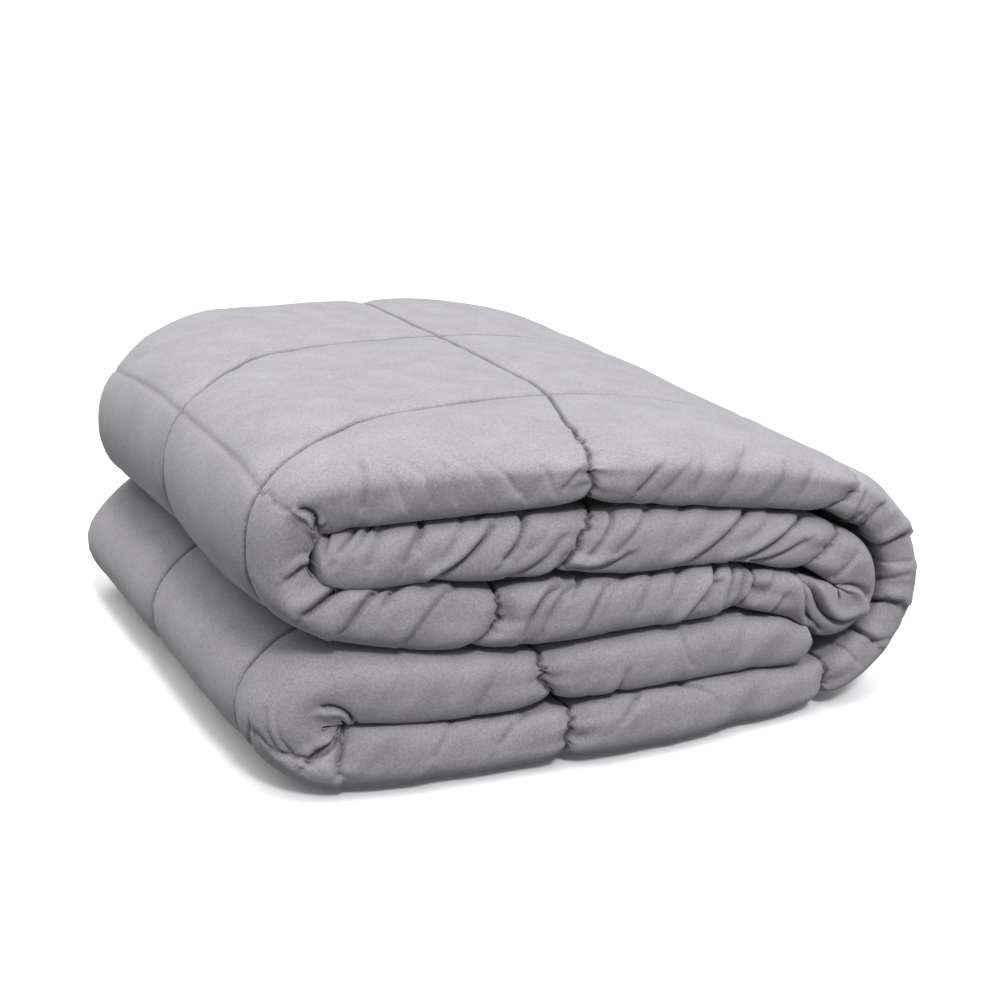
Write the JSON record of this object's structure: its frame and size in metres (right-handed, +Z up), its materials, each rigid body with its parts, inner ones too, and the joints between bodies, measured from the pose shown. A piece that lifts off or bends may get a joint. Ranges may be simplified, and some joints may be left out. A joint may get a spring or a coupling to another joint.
{
  "type": "folded weighted blanket",
  "caption": "Square-quilted, bead-filled weighted blanket folded in thirds and then folded and wrapped into a soft stack of leaves.",
  "frame": {"origin": "centre of the bounding box at the face the folded blanket rests on", "axes": "+X right along the front edge, +Y from the front towards the back, along the long side of the stack, +Z up"},
  "size_m": [0.3618, 0.4215, 0.1586],
  "materials": {
    "brushed_cloth": "soft brushed microfibre, mid grey with a slight purple cast, matt, with stitched channels in a square grid"
  },
  "bodies": {
    "root": {"quilt": "brushed_cloth"}
  },
  "joints": []
}
